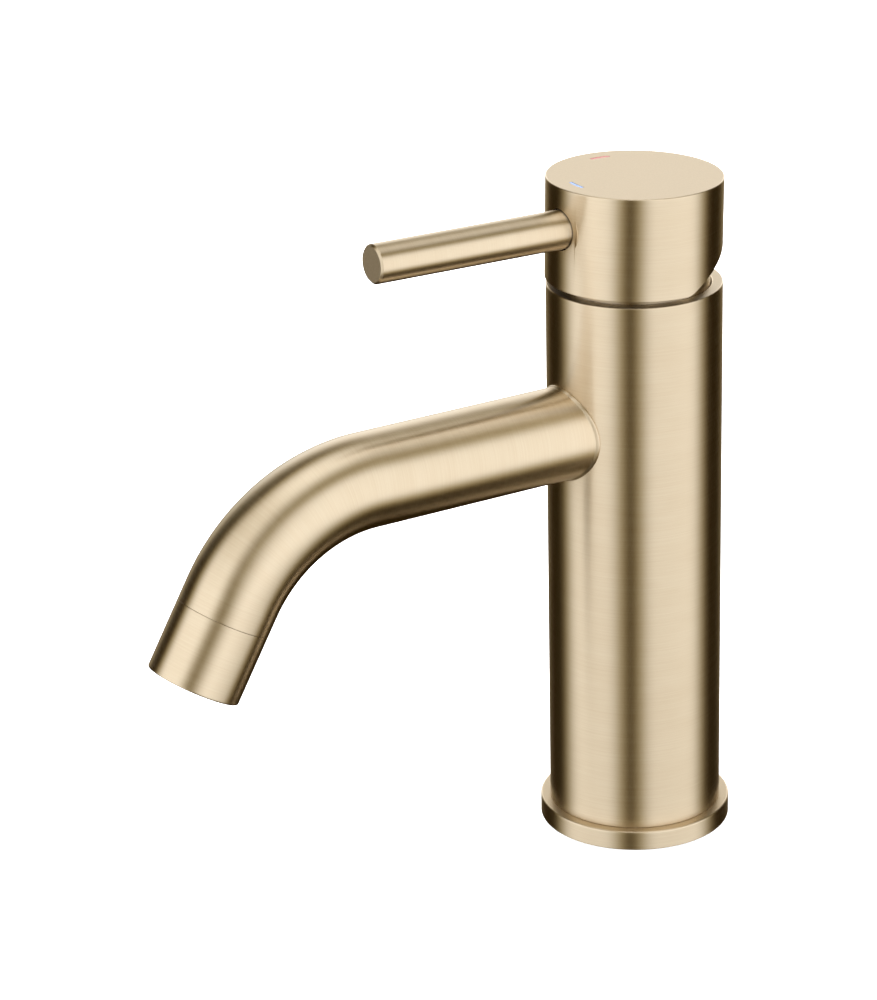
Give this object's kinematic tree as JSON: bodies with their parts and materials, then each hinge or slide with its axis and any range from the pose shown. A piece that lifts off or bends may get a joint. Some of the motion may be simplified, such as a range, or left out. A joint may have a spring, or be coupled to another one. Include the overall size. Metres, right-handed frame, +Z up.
{
  "type": "bathroom mixer faucet",
  "caption": "Lever basin mixer with a round column, a tube spout bent down at its end, and a rod lever on a cap that lifts for flow and turns for temperature.",
  "frame": {"origin": "centre of the deck face, on the column's axis, in the plane of the base seal's underside", "axes": "+Z up along the column; spout and closed lever towards -Y; hot side at -X, cold side at +X"},
  "size_m": [0.05, 0.1656, 0.1773],
  "materials": {
    "champagne_gold": "brushed champagne gold PVD",
    "brass": "machined brass",
    "steel": "stainless steel",
    "acetal": "moulded acetal",
    "ceramic": "lapped alumina ceramic",
    "rubber": "moulded rubber",
    "red_enamel": "enamel filling",
    "blue_enamel": "enamel filling"
  },
  "bodies": {
    "fixed_body": {"base_flange": "champagne_gold", "base_seal": "rubber", "base_insert": "brass", "body_column": "champagne_gold", "valve_core": "brass", "spout_tube": "champagne_gold", "spout_nipple": "brass", "spout_o_ring": "rubber", "aerator_housing": "champagne_gold", "aerator_insert": "acetal", "aerator_screen": "steel", "aerator_washer": "rubber", "cartridge_base": "acetal", "hot_inlet_seal": "rubber", "cold_inlet_seal": "rubber", "outlet_seal": "rubber", "fixed_disc": "ceramic", "cartridge_housing": "acetal", "cartridge_nut": "brass", "dome_ring": "champagne_gold"},
    "swivel": {"cartridge_swivel": "acetal", "pivot_pin": "steel"},
    "handle": {"cartridge_stem": "steel", "handle_cap": "champagne_gold", "lever_rod": "champagne_gold", "lever_stud": "steel", "cap_grub_screw": "steel", "hot_mark": "red_enamel", "cold_mark": "blue_enamel"},
    "disc_slide": {"moving_disc": "ceramic", "disc_carrier": "acetal"}
  },
  "joints": [
    {"name": "lever_turn", "type": "hinge", "parent": "fixed_body", "child": "swivel", "pos_m": [0, 0, 0.15], "axis": [0, 0, -1], "range_deg": [0, 90]},
    {"name": "lever_lift", "type": "hinge", "parent": "swivel", "child": "handle", "pos_m": [0, 0, 0.15], "axis": [-1, 0, 0], "range_deg": [0, 25]},
    {"name": "disc_shift", "type": "slide", "parent": "swivel", "child": "disc_slide", "axis": [0, -1, 0], "range_m": [0, 0.00439]}
  ],
  "couplings": [
    {"joint": "disc_shift", "follows": "lever_lift", "m_per_rad": 0.010028}
  ]
}
